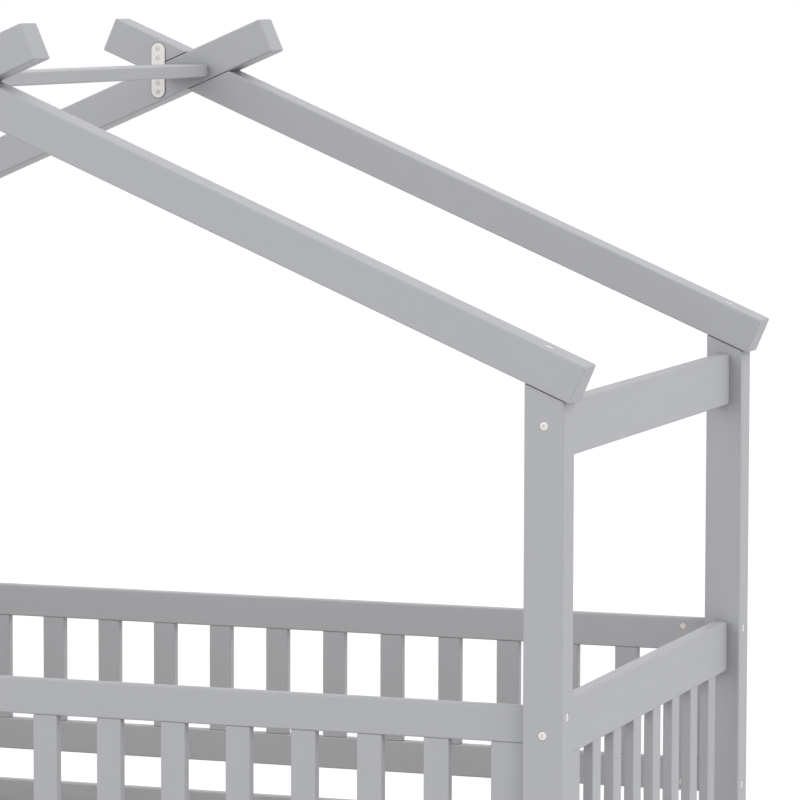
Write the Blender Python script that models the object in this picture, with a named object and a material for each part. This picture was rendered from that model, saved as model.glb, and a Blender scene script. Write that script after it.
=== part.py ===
"""House bed with a trundle.

Four posts carry two gables of cross-lapped rafters, a ridge board, upper end rails, slatted end panels
and a full-length fence on both long sides. Side rails with ledgers hold the mattress slats, and a low second
bed on four casters rolls out of the bay below, towards -Y.

Frame: origin on the floor under the middle of the bed, +X along the bed, -Y the side that the trundle
comes out of.
"""

import math

import bmesh
import bpy
from mathutils import Matrix, Vector

# Overall sizes, in metres
BED_LENGTH = 2.014
BED_WIDTH = 1.075
FENCE_TOP = 0.775
RIDGE_HEIGHT = 1.700
ROOF_PITCH = math.radians(23.15)

# Clearances and the shape of edges
SEAT_GAP = 0.0003
LAP_GAP = 0.0008
MERGE_GAP = 0.00003
OVERRUN = 0.010
EDGE_ROUND = 0.003
EDGE_STEPS = 2
SLAT_ROUND = 0.002
SHARP_ANGLE = math.radians(30)

# Posts and what stands inside their inner faces
POST_X = 0.062
POST_Y = 0.055
INNER_REVEAL = 0.016

# Rafters, ridge board and the straps across the laps
RAFTER_HEIGHT = 0.0605
RAFTER_THICK = 0.060
RAFTER_HORN = 0.160
RAFTER_EAVE = 0.023
RIDGE_BOARD_WIDTH = 0.080
RIDGE_BOARD_THICK = 0.022
STRAP_LENGTH = 0.096
STRAP_WIDTH = 0.025
STRAP_THICK = 0.002
STRAP_CLEAR = 0.0015
STRAP_HOLE_SPACING = 0.016
STRAP_HOLE_INSET = 0.010
STRAP_HOLE_RADIUS = 0.0023
STRAP_SINK_RADIUS = 0.0040
STRAP_LIP_SHARE = 0.1
STRAP_SINK_SHARE = 0.8
RIDGE_SCREW_RADIUS = 0.0025
RIDGE_SCREW_SPACING = 0.040
ARC_STEPS = 8

# End rails and end panels
END_RAIL_THICK = 0.025
END_RAIL_HEIGHT = 0.085
LOWER_END_RAIL_HEIGHT = 0.120
UPPER_RAIL_DROP = 0.0065
END_SLATS = 8

# Long fences
FENCE_THICK = 0.019
FENCE_HEIGHT = 0.2985
FENCE_RAIL_HEIGHT = 0.056
FENCE_SLATS = 16
STILE_WIDTH = 0.056
PICKET_WIDTH = 0.0435
PICKET_THICK = 0.016
PICKET_RECESS = 0.0015
TENON = 0.012

# Side rails and the mattress deck
SIDE_RAIL_TOP = 0.4205
SIDE_RAIL_HEIGHT = 0.120
DECK_DROP = 0.045
DECK_SLATS = 12
DECK_SLAT_WIDTH = 0.070
DECK_SLAT_THICK = 0.018
DECK_END_CLEAR = 0.004
LEDGER = 0.025
LEDGER_END_CLEAR = 0.005

# Bolts, barrel nuts and their holes
BOLT_SINK_RADIUS = 0.0072
BOLT_SINK_DEPTH = 0.0045
BOLT_HOLE_RADIUS = 0.0035
BARREL_RADIUS = 0.0053
BARREL_BACK = 0.042
BARREL_DEPTH_SHARE = 0.75
HOLE_STEPS = 8
BORE_STEPS = 6
UPPER_BOLT_DROP = 0.031
GUARD_BOLT_DROP = 0.040
FENCE_BOLT_INSET = 0.0145
SIDE_BOLT_INSET = 0.025
LOWER_BOLT_INSET = 0.045

# Trundle
TRUNDLE_SIDE_CLEAR = 0.005
TRUNDLE_FRONT_RECESS = 0.002
TRUNDLE_BACK_CLEAR = 0.010
TRUNDLE_BOARD = 0.019
TRUNDLE_FLOOR_CLEAR = 0.030
TRUNDLE_FRAME_HEIGHT = 0.118
GRIP_GAP = 0.0455
TRUNDLE_DECK_DROP = 0.015
TRUNDLE_SLATS = 11

# Casters
WHEEL_RADIUS = 0.025
WHEEL_WIDTH = 0.020
WHEEL_CROWN = 0.002
WHEEL_HUB_RADIUS = 0.009
WHEEL_DISH_RADIUS = 0.011
WHEEL_RIM_RADIUS = 0.019
WHEEL_WEB = 0.010
WHEEL_STEPS = 16
AXLE_RADIUS = 0.004
AXLE_HEAD_RADIUS = 0.0065
AXLE_HEAD_THICK = 0.002
RUNNING_GAP = 0.0005
WHEEL_SIDE_GAP = 0.002
BRACKET_WALL = 0.0025
BRACKET_EAR_RADIUS = 0.012
BRACKET_SHOULDER = 0.036
WHEEL_TOP_GAP = 0.004
MOUNT_PLATE_WIDTH = 0.040
MOUNT_PLATE_RISE = 0.0355
MOUNT_HOLE_RADIUS = 0.0024
MOUNT_HOLE_INSET = 0.009
CASTER_END_INSET = 0.075

# Places that several pieces share
HALF_LENGTH = BED_LENGTH / 2
HALF_WIDTH = BED_WIDTH / 2
POST_IN_X = HALF_LENGTH - POST_X
POST_IN_Y = HALF_WIDTH - POST_Y
POST_MID_X = HALF_LENGTH - POST_X / 2
POST_MID_Y = HALF_WIDTH - POST_Y / 2
GABLE_Y = POST_MID_Y
GABLE_INNER_Y = GABLE_Y - RAFTER_THICK / 2
END_RAIL_IN = POST_IN_X + INNER_REVEAL
FENCE_IN = POST_IN_Y + INNER_REVEAL
EAVE_CENTRE = RIDGE_HEIGHT - HALF_LENGTH * math.tan(ROOF_PITCH)
EAVE_UNDERSIDE = EAVE_CENTRE - RAFTER_HEIGHT / 2 / math.cos(ROOF_PITCH)
UPPER_RAIL_TOP = EAVE_UNDERSIDE - UPPER_RAIL_DROP
SIDE_RAIL_BOTTOM = SIDE_RAIL_TOP - SIDE_RAIL_HEIGHT
DECK_TOP = SIDE_RAIL_TOP - DECK_DROP
DECK_BOTTOM = DECK_TOP - DECK_SLAT_THICK
TRUNDLE_HALF_LENGTH = POST_IN_X - TRUNDLE_SIDE_CLEAR
TRUNDLE_FRONT_Y = -HALF_WIDTH + TRUNDLE_FRONT_RECESS
TRUNDLE_BACK_Y = POST_IN_Y - TRUNDLE_BACK_CLEAR
TRUNDLE_FRAME_TOP = TRUNDLE_FLOOR_CLEAR + TRUNDLE_FRAME_HEIGHT
TRUNDLE_DECK_TOP = TRUNDLE_FRAME_TOP - TRUNDLE_DECK_DROP
TRUNDLE_DECK_BOTTOM = TRUNDLE_DECK_TOP - DECK_SLAT_THICK

# Heights of the bolts that run along the bed, into fences and side rails, and of those that run across it
ALONG_BOLTS = (
    FENCE_TOP - FENCE_BOLT_INSET,
    FENCE_TOP - FENCE_HEIGHT + FENCE_BOLT_INSET,
    SIDE_RAIL_TOP - SIDE_BOLT_INSET,
    SIDE_RAIL_BOTTOM + SIDE_BOLT_INSET,
)
ACROSS_BOLTS = (
    UPPER_RAIL_TOP - UPPER_BOLT_DROP,
    FENCE_TOP - GUARD_BOLT_DROP,
    SIDE_RAIL_TOP - LOWER_BOLT_INSET,
    SIDE_RAIL_TOP - LOWER_END_RAIL_HEIGHT + LOWER_BOLT_INSET,
)

# Finishes: colour, roughness and metallic value
GREY_PAINT = ((0.425, 0.434, 0.455), 0.45, 0.0)
BARE_PINE = ((0.66, 0.50, 0.33), 0.60, 0.0)
ZINC_PLATE = ((0.72, 0.70, 0.67), 0.40, 0.9)
DARK_NYLON = ((0.035, 0.035, 0.038), 0.50, 0.0)

SIDES = (("front", -1), ("back", 1))
ENDS = (("right", 1), ("left", -1))


def clear_scene():
    for thing in list(bpy.data.objects):
        bpy.data.objects.remove(thing, do_unlink=True)


def new_collection(name, hidden=False):
    made = bpy.data.collections.new(name)
    bpy.context.scene.collection.children.link(made)
    made.hide_render = hidden
    return made


def finish(obj, look):
    """Gives an object a material of its own."""
    colour, roughness, metallic = look
    material = bpy.data.materials.new(obj.name + "_finish")
    material.use_nodes = True
    shader = material.node_tree.nodes["Principled BSDF"]
    shader.inputs["Base Color"].default_value = (*colour, 1)
    shader.inputs["Roughness"].default_value = roughness
    shader.inputs["Metallic"].default_value = metallic
    obj.data.materials.append(material)


def add(name, bm, look, place=(0, 0, 0), turn=(0, 0, 0), parent=None):
    """Makes a visible sub-part from a bmesh drawn about its own origin, and stands it at its place."""
    mesh = bpy.data.meshes.new(name)
    bm.to_mesh(mesh)
    bm.free()
    obj = bpy.data.objects.new(name, mesh)
    PARTS.objects.link(obj)
    obj.location = Vector(place)
    obj.rotation_euler = turn
    if parent is not None:
        obj.parent = parent
        obj.location = Vector(place) - parent.location
    finish(obj, look)
    return obj


def combine(obj, bm, operation, place=(0, 0, 0)):
    """Joins, cuts or trims an object with a shape, kept as a hidden wire object."""
    name = f"{obj.name}_{operation.lower()}_{len(obj.modifiers)}"
    mesh = bpy.data.meshes.new(name)
    bm.to_mesh(mesh)
    bm.free()
    helper = bpy.data.objects.new(name, mesh)
    CUTTERS.objects.link(helper)
    helper.location = place
    helper.hide_render = True
    helper.display_type = "WIRE"
    boolean = obj.modifiers.new(operation.title(), "BOOLEAN")
    boolean.operation = operation
    boolean.solver = "EXACT"
    boolean.object = helper


def round_edges(bm, edges, radius, steps):
    bmesh.ops.bevel(
        bm, geom=list(edges), offset=radius, offset_type="OFFSET", segments=steps,
        profile=0.5, affect="EDGES", clamp_overlap=True, material=-1,
    )


def add_box(bm, low, high, radius, steps=EDGE_STEPS):
    """Adds a box with rounded edges between two corners."""
    low, high = Vector(low), Vector(high)
    verts = bmesh.ops.create_cube(bm, size=1)["verts"]
    bmesh.ops.scale(bm, vec=high - low, verts=verts)
    bmesh.ops.translate(bm, vec=(low + high) / 2, verts=verts)
    edges = {edge for vert in verts for edge in vert.link_edges}
    if radius > 0:
        round_edges(bm, edges, radius, steps)


def boxes(corners, radius, steps=EDGE_STEPS):
    bm = bmesh.new()
    for low, high in corners:
        add_box(bm, low, high, radius, steps)
    return bm


def board(name, low, high, look=GREY_PAINT, radius=EDGE_ROUND, steps=EDGE_STEPS, parent=None):
    """A plain board between two corners of the bed, with its origin at its middle."""
    half = (Vector(high) - Vector(low)) / 2
    middle = (Vector(high) + Vector(low)) / 2
    return add(name, boxes([(-half, half)], radius, steps), look, middle, parent=parent)


def add_turned(bm, profile, steps, place):
    """Adds a shape turned about its Z axis from (radius, height) pairs, closed on itself or on the axis."""
    turned = bmesh.new()
    verts = [turned.verts.new((radius, 0, height)) for radius, height in profile]
    pairs = list(zip(verts, verts[1:]))
    if profile[0][0] > 0:
        pairs.append((verts[-1], verts[0]))
    edges = [turned.edges.new(pair) for pair in pairs]
    bmesh.ops.spin(
        turned, geom=verts + edges, cent=(0, 0, 0), axis=(0, 0, 1), dvec=(0, 0, 0),
        angle=math.tau, steps=steps, use_merge=True, use_duplicate=False,
    )
    bmesh.ops.remove_doubles(turned, verts=turned.verts, dist=MERGE_GAP)
    bmesh.ops.transform(turned, matrix=place, verts=turned.verts)
    bmesh.ops.recalc_face_normals(turned, faces=turned.faces)
    mesh = bpy.data.meshes.new("turned")
    turned.to_mesh(mesh)
    turned.free()
    bm.from_mesh(mesh)
    bpy.data.meshes.remove(mesh)


def aimed(place, direction):
    """A matrix that stands a turned shape at a place, with its Z axis along a direction."""
    return Matrix.Translation(place) @ Vector(direction).to_track_quat("Z", "Y").to_matrix().to_4x4()


def add_cylinder(bm, radius, low, high, steps, place):
    add_turned(bm, [(0, low), (radius, low), (radius, high), (0, high)], steps, place)


def add_bolt_hole(bm, mouth, inward, depth):
    """A through hole with a sunk seat for the bolt's flat head."""
    profile = [
        (0, -OVERRUN),
        (BOLT_SINK_RADIUS, -OVERRUN),
        (BOLT_SINK_RADIUS, BOLT_SINK_DEPTH),
        (BOLT_HOLE_RADIUS, BOLT_SINK_DEPTH),
        (BOLT_HOLE_RADIUS, depth + OVERRUN),
        (0, depth + OVERRUN),
    ]
    add_turned(bm, profile, HOLE_STEPS, aimed(mouth, inward))


def drill_ends(board_obj, outward, along, inner, thick, bolt_line, post_face, heights):
    """Bores a board's two ends for the bolts, as far as the blind cross holes of their barrel nuts."""
    bores, barrels = bmesh.new(), bmesh.new()
    depth = thick * BARREL_DEPTH_SHARE
    for way in (along, -along):
        for z in heights:
            level = Vector((0, 0, z))
            mouth = outward * bolt_line + way * post_face + level
            add_cylinder(bores, BOLT_HOLE_RADIUS, -OVERRUN, BARREL_BACK, BORE_STEPS, aimed(mouth, -way))
            mouth = outward * inner + way * (post_face - BARREL_BACK) + level
            add_cylinder(barrels, BARREL_RADIUS, -OVERRUN, depth, HOLE_STEPS, aimed(mouth, outward))
    combine(board_obj, bores, "DIFFERENCE")
    combine(board_obj, barrels, "DIFFERENCE")


def drill_end_board(board_obj, sx, heights):
    """Drills a board that runs across the bed between two posts."""
    outward, along = Vector((sx, 0, 0)), Vector((0, 1, 0))
    drill_ends(board_obj, outward, along, END_RAIL_IN, END_RAIL_THICK, POST_MID_X, POST_IN_Y, heights)


def drill_long_board(board_obj, sy, heights):
    """Drills a board that runs along the bed between two posts."""
    outward, along = Vector((0, sy, 0)), Vector((1, 0, 0))
    drill_ends(board_obj, outward, along, FENCE_IN, FENCE_THICK, POST_MID_Y, POST_IN_X, heights)


def extruded(outline, thick, across=Vector((1, 0, 0))):
    """A plate from an outline of (y, z) pairs, centred on its thickness along X."""
    bm = bmesh.new()
    verts = [bm.verts.new((-thick / 2, y, z)) for y, z in outline]
    face = bm.faces.new(verts)
    lifted = bmesh.ops.extrude_face_region(bm, geom=[face])["geom"]
    far_verts = [part for part in lifted if isinstance(part, bmesh.types.BMVert)]
    bmesh.ops.translate(bm, vec=across * thick, verts=far_verts)
    bmesh.ops.recalc_face_normals(bm, faces=bm.faces)
    return bm


def arc(centre_y, centre_z, radius, start, end, steps):
    """Points on an arc, with its angles in turns from +Y towards +Z."""
    angles = [math.tau * (start + (end - start) * i / steps) for i in range(steps + 1)]
    return [(centre_y + radius * math.cos(a), centre_z + radius * math.sin(a)) for a in angles]


def evenly(low, high, count):
    """The middles of so many pieces, from the first at low to the last at high."""
    return [low + (high - low) * i / (count - 1) for i in range(count)]


def pitched(low, high, count, width):
    """The middles of so many pieces of a width with equal gaps between each other and the two ends."""
    gap = (high - low - count * width) / (count + 1)
    return [low + gap + width / 2 + i * (width + gap) for i in range(count)]


def posts():
    """Four posts, cut on the slope of the rafters that they carry, with a sunk hole for each bolt."""
    for side, sy in SIDES:
        for end, sx in ENDS:
            bm = bmesh.new()
            verts = bmesh.ops.create_cube(bm, size=1)["verts"]
            bmesh.ops.scale(bm, vec=(POST_X, POST_Y, RIDGE_HEIGHT), verts=verts)
            bmesh.ops.translate(bm, vec=(0, 0, RIDGE_HEIGHT / 2), verts=verts)
            outer = Vector((sx * POST_X / 2, 0, EAVE_UNDERSIDE - SEAT_GAP / math.cos(ROOF_PITCH)))
            up = Vector((sx * math.sin(ROOF_PITCH), 0, math.cos(ROOF_PITCH)))
            everything = bm.verts[:] + bm.edges[:] + bm.faces[:]
            cut = bmesh.ops.bisect_plane(bm, geom=everything, plane_co=outer, plane_no=up, clear_outer=True)
            rim = [part for part in cut["geom_cut"] if isinstance(part, bmesh.types.BMEdge)]
            bmesh.ops.contextual_create(bm, geom=rim)
            bmesh.ops.recalc_face_normals(bm, faces=bm.faces)
            round_edges(bm, set(bm.edges) - set(rim), EDGE_ROUND, EDGE_STEPS)
            x, y = sx * POST_MID_X, sy * POST_MID_Y
            post = add(f"post_{side}_{end}", bm, GREY_PAINT, (x, y, 0))
            holes = bmesh.new()
            for z in ALONG_BOLTS:
                add_bolt_hole(holes, (sx * HALF_LENGTH, y, z), (-sx, 0, 0), POST_X)
            for z in ACROSS_BOLTS:
                add_bolt_hole(holes, (x, sy * HALF_WIDTH, z), (0, -sy, 0), POST_Y)
            combine(post, holes, "DIFFERENCE")


def rafters():
    """Two gables of two rafters, all to one pattern: each pair meets in a cross lap, half of each deep."""
    lower = (HALF_LENGTH / math.cos(ROOF_PITCH)) + RAFTER_EAVE
    for side, sy in SIDES:
        for end, sx in ENDS:
            low = (-RAFTER_HORN, -RAFTER_THICK / 2, -RAFTER_HEIGHT / 2)
            high = (lower, RAFTER_THICK / 2, RAFTER_HEIGHT / 2)
            crossing = Vector((0, sy * GABLE_Y, RIDGE_HEIGHT))
            turn = (0, ROOF_PITCH, 0 if sx > 0 else math.pi)
            name = f"rafter_{side}_{end}"
            rafter = add(name, boxes([(low, high)], EDGE_ROUND), GREY_PAINT, crossing, turn)
            combine(rafter, lap_notch(sx), "DIFFERENCE", crossing)
            holes = bmesh.new()
            underside = EAVE_UNDERSIDE + (POST_X / 2) * math.tan(ROOF_PITCH)
            top = underside + RAFTER_HEIGHT / math.cos(ROOF_PITCH)
            inward = (-sx * math.sin(ROOF_PITCH), 0, -math.cos(ROOF_PITCH))
            add_bolt_hole(holes, (sx * POST_MID_X, sy * GABLE_Y, top), inward, RAFTER_HEIGHT)
            for x in (-RIDGE_SCREW_SPACING / 2, RIDGE_SCREW_SPACING / 2):
                place = aimed((x, sy * GABLE_Y, RIDGE_HEIGHT), (0, 1, 0))
                add_cylinder(holes, RIDGE_SCREW_RADIUS, -RAFTER_THICK, RAFTER_THICK, HOLE_STEPS, place)
            combine(rafter, holes, "DIFFERENCE")


def lap_notch(sx):
    """The other rafter's outline, a little larger, over the half that a rafter gives up to it."""
    reach = RAFTER_HEIGHT / math.sin(2 * ROOF_PITCH) + OVERRUN
    half = RAFTER_HEIGHT / 2 + LAP_GAP
    ends_y = sorted((-sx * (RAFTER_THICK / 2 + OVERRUN), sx * SEAT_GAP / 2))
    bm = boxes([((-reach, ends_y[0], -half), (reach, ends_y[1], half))], 0)
    bmesh.ops.rotate(bm, cent=(0, 0, 0), matrix=Matrix.Rotation(-sx * ROOF_PITCH, 3, "Y"), verts=bm.verts)
    return bm


def ridge():
    """A flat board between the gables, level with the laps."""
    half_x, half_z = RIDGE_BOARD_WIDTH / 2, RIDGE_BOARD_THICK / 2
    y = GABLE_INNER_Y - SEAT_GAP
    board("ridge_board", (-half_x, -y, RIDGE_HEIGHT - half_z), (half_x, y, RIDGE_HEIGHT + half_z))


def straps():
    """A plate with round ends beside the ridge board, screwed across each gable's lap."""
    radius = STRAP_WIDTH / 2
    flank = STRAP_LENGTH / 2 - radius
    offset = RIDGE_BOARD_WIDTH / 2 + STRAP_CLEAR + radius
    first = STRAP_LENGTH / 2 - STRAP_HOLE_INSET
    for side, sy in SIDES:
        outline = arc(0, flank, radius, 0, 0.5, ARC_STEPS) + arc(0, -flank, radius, 0.5, 1, ARC_STEPS)
        plate = extruded(outline, STRAP_THICK)
        x = -sy * offset
        y = sy * (GABLE_INNER_Y - SEAT_GAP - STRAP_THICK / 2)
        strap = add(f"lap_strap_{side}", plate, ZINC_PLATE, (x, y, RIDGE_HEIGHT), (0, 0, math.pi / 2))
        holes = bmesh.new()
        for z in (first, first - STRAP_HOLE_SPACING, STRAP_HOLE_SPACING - first, -first):
            face = aimed((x, y - sy * STRAP_THICK / 2, RIDGE_HEIGHT + z), (0, sy, 0))
            profile = [
                (0, -OVERRUN),
                (STRAP_SINK_RADIUS, -OVERRUN),
                (STRAP_SINK_RADIUS, STRAP_THICK * STRAP_LIP_SHARE),
                (STRAP_HOLE_RADIUS, STRAP_THICK * STRAP_SINK_SHARE),
                (STRAP_HOLE_RADIUS, STRAP_THICK + OVERRUN),
                (0, STRAP_THICK + OVERRUN),
            ]
            add_turned(holes, profile, HOLE_STEPS, face)
        combine(strap, holes, "DIFFERENCE")


def upper_end_rails():
    """A rail between the post tops at each end, held by one bolt and barrel nut at each post."""
    for end, sx in ENDS:
        inner, outer = sx * END_RAIL_IN, sx * (END_RAIL_IN + END_RAIL_THICK)
        y = POST_IN_Y - SEAT_GAP
        low = (min(inner, outer), -y, UPPER_RAIL_TOP - END_RAIL_HEIGHT)
        rail = board(f"upper_end_rail_{end}", low, (max(inner, outer), y, UPPER_RAIL_TOP))
        drill_end_board(rail, sx, ACROSS_BOLTS[:1])


def picket_faces(sign, rail_outer):
    """The two faces of the pickets, set a little way behind the outer face of their rails."""
    outer = rail_outer - PICKET_RECESS
    return sorted((sign * outer, sign * (outer - PICKET_THICK)))


def end_panels():
    """Glued panels at the head and the foot: a guard rail, pickets and a lower rail."""
    lower_bottom = SIDE_RAIL_TOP - LOWER_END_RAIL_HEIGHT
    for end, sx in ENDS:
        inner, outer = sorted((sx * END_RAIL_IN, sx * (END_RAIL_IN + END_RAIL_THICK)))
        y = POST_IN_Y - SEAT_GAP
        rails = [
            ((inner, -y, FENCE_TOP - END_RAIL_HEIGHT), (outer, y, FENCE_TOP)),
            ((inner, -y, lower_bottom), (outer, y, SIDE_RAIL_TOP)),
        ]
        bottom, top = SIDE_RAIL_TOP - TENON, FENCE_TOP - END_RAIL_HEIGHT + TENON
        near, far = picket_faces(sx, END_RAIL_IN + END_RAIL_THICK)
        pickets = [
            ((near, c - PICKET_WIDTH / 2, bottom), (far, c + PICKET_WIDTH / 2, top))
            for c in pitched(-POST_IN_Y, POST_IN_Y, END_SLATS, PICKET_WIDTH)
        ]
        panel = add(f"end_panel_{end}", boxes(rails, EDGE_ROUND), GREY_PAINT)
        combine(panel, boxes(pickets, SLAT_ROUND, 1), "UNION")
        drill_end_board(panel, sx, ACROSS_BOLTS[1:])


def fences():
    """Glued fence panels along both sides: two rails, a stile against each post and sixteen pickets."""
    x = POST_IN_X - SEAT_GAP
    fence_bottom = FENCE_TOP - FENCE_HEIGHT
    for side, sy in SIDES:
        inner, outer = sorted((sy * FENCE_IN, sy * (FENCE_IN + FENCE_THICK)))
        rails = [
            ((-x, inner, FENCE_TOP - FENCE_RAIL_HEIGHT), (x, outer, FENCE_TOP)),
            ((-x, inner, fence_bottom), (x, outer, fence_bottom + FENCE_RAIL_HEIGHT)),
        ]
        bottom, top = fence_bottom + FENCE_RAIL_HEIGHT - TENON, FENCE_TOP - FENCE_RAIL_HEIGHT + TENON
        near, far = picket_faces(sy, FENCE_IN + FENCE_THICK)
        stile_in = x - STILE_WIDTH
        uprights = [((-x, near, bottom), (-stile_in, far, top)), ((stile_in, near, bottom), (x, far, top))]
        for c in pitched(-stile_in, stile_in, FENCE_SLATS, PICKET_WIDTH):
            uprights.append(((c - PICKET_WIDTH / 2, near, bottom), (c + PICKET_WIDTH / 2, far, top)))
        fence = add(f"fence_{side}", boxes(rails, EDGE_ROUND), GREY_PAINT)
        combine(fence, boxes(uprights, SLAT_ROUND, 1), "UNION")
        drill_long_board(fence, sy, ALONG_BOLTS[:2])


def side_rails():
    """The rails that carry the deck, each with a ledger screwed along its inner face."""
    x = POST_IN_X - SEAT_GAP
    for side, sy in SIDES:
        inner, outer = sorted((sy * FENCE_IN, sy * (FENCE_IN + FENCE_THICK)))
        rail = board(f"side_rail_{side}", (-x, inner, SIDE_RAIL_BOTTOM), (x, outer, SIDE_RAIL_TOP))
        drill_long_board(rail, sy, ALONG_BOLTS[2:])
        near, far = sorted((sy * (FENCE_IN - SEAT_GAP), sy * (FENCE_IN - SEAT_GAP - LEDGER)))
        top = DECK_BOTTOM - SEAT_GAP
        reach = POST_IN_X - BARREL_BACK - BARREL_RADIUS - LEDGER_END_CLEAR
        low, high = (-reach, near, top - LEDGER), (reach, far, top)
        board(f"deck_ledger_{side}", low, high, BARE_PINE, SLAT_ROUND, 1)


def deck_slats():
    """Loose slats across the bed, resting on the two ledgers."""
    y = FENCE_IN - SEAT_GAP - DECK_END_CLEAR
    last = POST_IN_X - BARREL_BACK - BARREL_RADIUS - LEDGER_END_CLEAR - DECK_SLAT_WIDTH / 2
    for i, x in enumerate(evenly(-last, last, DECK_SLATS)):
        low = (x - DECK_SLAT_WIDTH / 2, -y, DECK_BOTTOM)
        high = (x + DECK_SLAT_WIDTH / 2, y, DECK_TOP)
        board(f"deck_slat_{i + 1:02d}", low, high, BARE_PINE, SLAT_ROUND, 1)


def trundle_frame(parent):
    """The rolling frame: a tall front and a low back, each with a glued ledger, and two ends."""
    x, t = TRUNDLE_HALF_LENGTH, TRUNDLE_BOARD
    front_top = SIDE_RAIL_BOTTOM - GRIP_GAP
    ledger_top = TRUNDLE_DECK_BOTTOM - SEAT_GAP
    ledger_x = x - t - LEDGER_END_CLEAR
    runs = (
        ("trundle_front", TRUNDLE_FRONT_Y, TRUNDLE_FRONT_Y + t, front_top, 1),
        ("trundle_back", TRUNDLE_BACK_Y - t, TRUNDLE_BACK_Y, TRUNDLE_FRAME_TOP, -1),
    )
    for name, low_y, high_y, top, inward in runs:
        run = board(name, (-x, low_y, TRUNDLE_FLOOR_CLEAR), (x, high_y, top), parent=parent)
        face = high_y if inward > 0 else low_y
        near, far = sorted((face - inward * t / 2, face + inward * LEDGER))
        strip = boxes([((-ledger_x, near, ledger_top - LEDGER), (ledger_x, far, ledger_top))], SLAT_ROUND, 1)
        combine(run, strip, "UNION")
    for end, sx in ENDS:
        inner, outer = sorted((sx * (x - t), sx * x))
        low = (inner, TRUNDLE_FRONT_Y + t + SEAT_GAP, TRUNDLE_FLOOR_CLEAR)
        high = (outer, TRUNDLE_BACK_Y - t - SEAT_GAP, TRUNDLE_FRAME_TOP)
        board(f"trundle_end_{end}", low, high, parent=parent)


def trundle_slats(parent):
    low_y = TRUNDLE_FRONT_Y + TRUNDLE_BOARD + DECK_END_CLEAR
    high_y = TRUNDLE_BACK_Y - TRUNDLE_BOARD - DECK_END_CLEAR
    last = TRUNDLE_HALF_LENGTH - TRUNDLE_BOARD - LEDGER_END_CLEAR - DECK_SLAT_WIDTH / 2
    for i, x in enumerate(evenly(-last, last, TRUNDLE_SLATS)):
        low = (x - DECK_SLAT_WIDTH / 2, low_y, TRUNDLE_DECK_BOTTOM)
        high = (x + DECK_SLAT_WIDTH / 2, high_y, TRUNDLE_DECK_TOP)
        board(f"trundle_slat_{i + 1:02d}", low, high, BARE_PINE, SLAT_ROUND, 1, parent)


def wheel_mesh():
    """A dished wheel with a crowned tread and a bore, turned about X."""
    half, hub, web = WHEEL_WIDTH / 2, WHEEL_WIDTH / 2 + WHEEL_SIDE_GAP / 2, WHEEL_WEB / 2
    side = [
        (AXLE_RADIUS + RUNNING_GAP, hub),
        (WHEEL_HUB_RADIUS, hub),
        (WHEEL_DISH_RADIUS, web),
        (WHEEL_RIM_RADIUS, half),
        (WHEEL_RADIUS - WHEEL_CROWN, half),
        (WHEEL_RADIUS, half - WHEEL_CROWN),
    ]
    profile = [(r, -h) for r, h in side] + [(r, h) for r, h in reversed(side)]
    bm = bmesh.new()
    add_turned(bm, profile, WHEEL_STEPS, Matrix.Rotation(math.pi / 2, 4, "Y"))
    return bm


def caster(name, x, y, sx, parent):
    """A fixed caster: a channel bracket on a mounting plate, a headed axle and a wheel that turns on it."""
    inside = WHEEL_WIDTH + 2 * WHEEL_SIDE_GAP
    channel = inside + 2 * BRACKET_WALL
    web_top = 2 * WHEEL_RADIUS + WHEEL_TOP_GAP + BRACKET_WALL
    centre = (x, y, WHEEL_RADIUS)
    ear = arc(0, 0, BRACKET_EAR_RADIUS, 0.5, 1, ARC_STEPS)
    shoulder = web_top - WHEEL_RADIUS
    outline = ear + [(BRACKET_SHOULDER / 2, shoulder), (-BRACKET_SHOULDER / 2, shoulder)]
    bracket = add(f"caster_bracket_{name}", extruded(outline, channel), ZINC_PLATE, centre, parent=parent)
    half_y = MOUNT_PLATE_WIDTH / 2
    space_top = 2 * WHEEL_RADIUS + WHEEL_TOP_GAP
    space = boxes([((x - inside / 2, y - half_y, -OVERRUN), (x + inside / 2, y + half_y, space_top))], 0)
    combine(bracket, space, "DIFFERENCE")
    plate_x = sorted((x + sx * inside / 2, x + sx * channel / 2))
    plate_low = (plate_x[0], y - half_y, space_top - BRACKET_WALL)
    plate_top = web_top + MOUNT_PLATE_RISE
    plate = boxes([(plate_low, (plate_x[1], y + half_y, plate_top))], 0)
    combine(bracket, plate, "UNION")
    holes = bmesh.new()
    across = aimed(centre, (sx, 0, 0))
    add_cylinder(holes, AXLE_RADIUS + SEAT_GAP, -channel, channel, HOLE_STEPS, across)
    for hole_y in (y - half_y + MOUNT_HOLE_INSET, y + half_y - MOUNT_HOLE_INSET):
        for hole_z in (web_top + MOUNT_HOLE_INSET, plate_top - MOUNT_HOLE_INSET):
            place = aimed((x, hole_y, hole_z), (sx, 0, 0))
            add_cylinder(holes, MOUNT_HOLE_RADIUS, 0, channel, HOLE_STEPS, place)
    combine(bracket, holes, "DIFFERENCE")
    shank = channel / 2
    head = -shank - SEAT_GAP
    profile = [
        (0, head - AXLE_HEAD_THICK),
        (AXLE_HEAD_RADIUS, head - AXLE_HEAD_THICK),
        (AXLE_HEAD_RADIUS, head),
        (AXLE_RADIUS, head),
        (AXLE_RADIUS, shank),
        (0, shank),
    ]
    axle = bmesh.new()
    add_turned(axle, profile, HOLE_STEPS, aimed((0, 0, 0), (sx, 0, 0)))
    add(f"caster_axle_{name}", axle, ZINC_PLATE, centre, parent=parent)
    wheel = add(f"caster_wheel_{name}", wheel_mesh(), DARK_NYLON, centre, parent=parent)
    wheel.data.shade_smooth()
    wheel.data.set_sharp_from_angle(angle=SHARP_ANGLE)


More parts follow.
